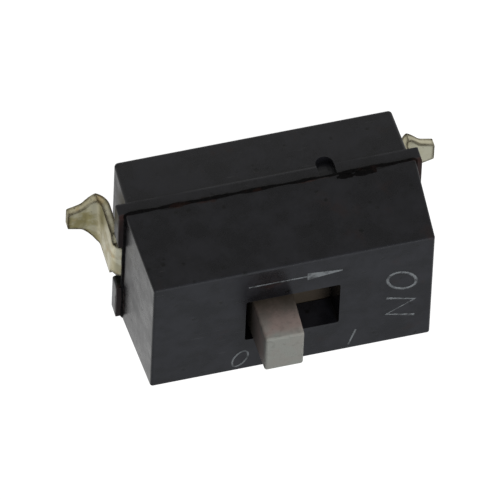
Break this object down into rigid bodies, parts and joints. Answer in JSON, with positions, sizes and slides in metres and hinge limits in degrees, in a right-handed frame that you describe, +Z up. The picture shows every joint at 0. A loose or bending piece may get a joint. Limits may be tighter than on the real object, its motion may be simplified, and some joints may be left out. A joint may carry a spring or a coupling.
{
  "type": "dip switch",
  "caption": "Slide DIP switch for surface mounting: a black drafted case with gull-wing terminals, and a pale raised knob that moves along a slot from off to on.",
  "frame": {"origin": "on the board, midway between the two feet and midway across the case", "axes": "+Z up from the board to the knob, +X the way the knob slides from off to on, +Y across the case"},
  "size_m": [0.0092, 0.0042, 0.0052],
  "materials": {
    "case_plastic": "black glass-filled thermoplastic, moulded satin, lightly scuffed",
    "seal_resin": "black epoxy, poured and level",
    "terminal_metal": "copper alloy strip with dull, tarnished plating",
    "knob_plastic": "pale grey-beige thermoplastic, moulded matt",
    "ball_metal": "plated and polished",
    "spring_steel": "drawn wire"
  },
  "bodies": {
    "housing": {"cover": "case_plastic", "base": "case_plastic", "base_seal": "seal_resin", "terminal_on": "terminal_metal", "terminal_off": "terminal_metal"},
    "actuator": {"slider": "knob_plastic", "contact_ball": "ball_metal", "contact_spring": "spring_steel"}
  },
  "joints": [
    {"name": "knob_slide", "type": "slide", "parent": "housing", "child": "actuator", "axis": [1, 0, 0], "range_m": [0, 0.00098]}
  ]
}
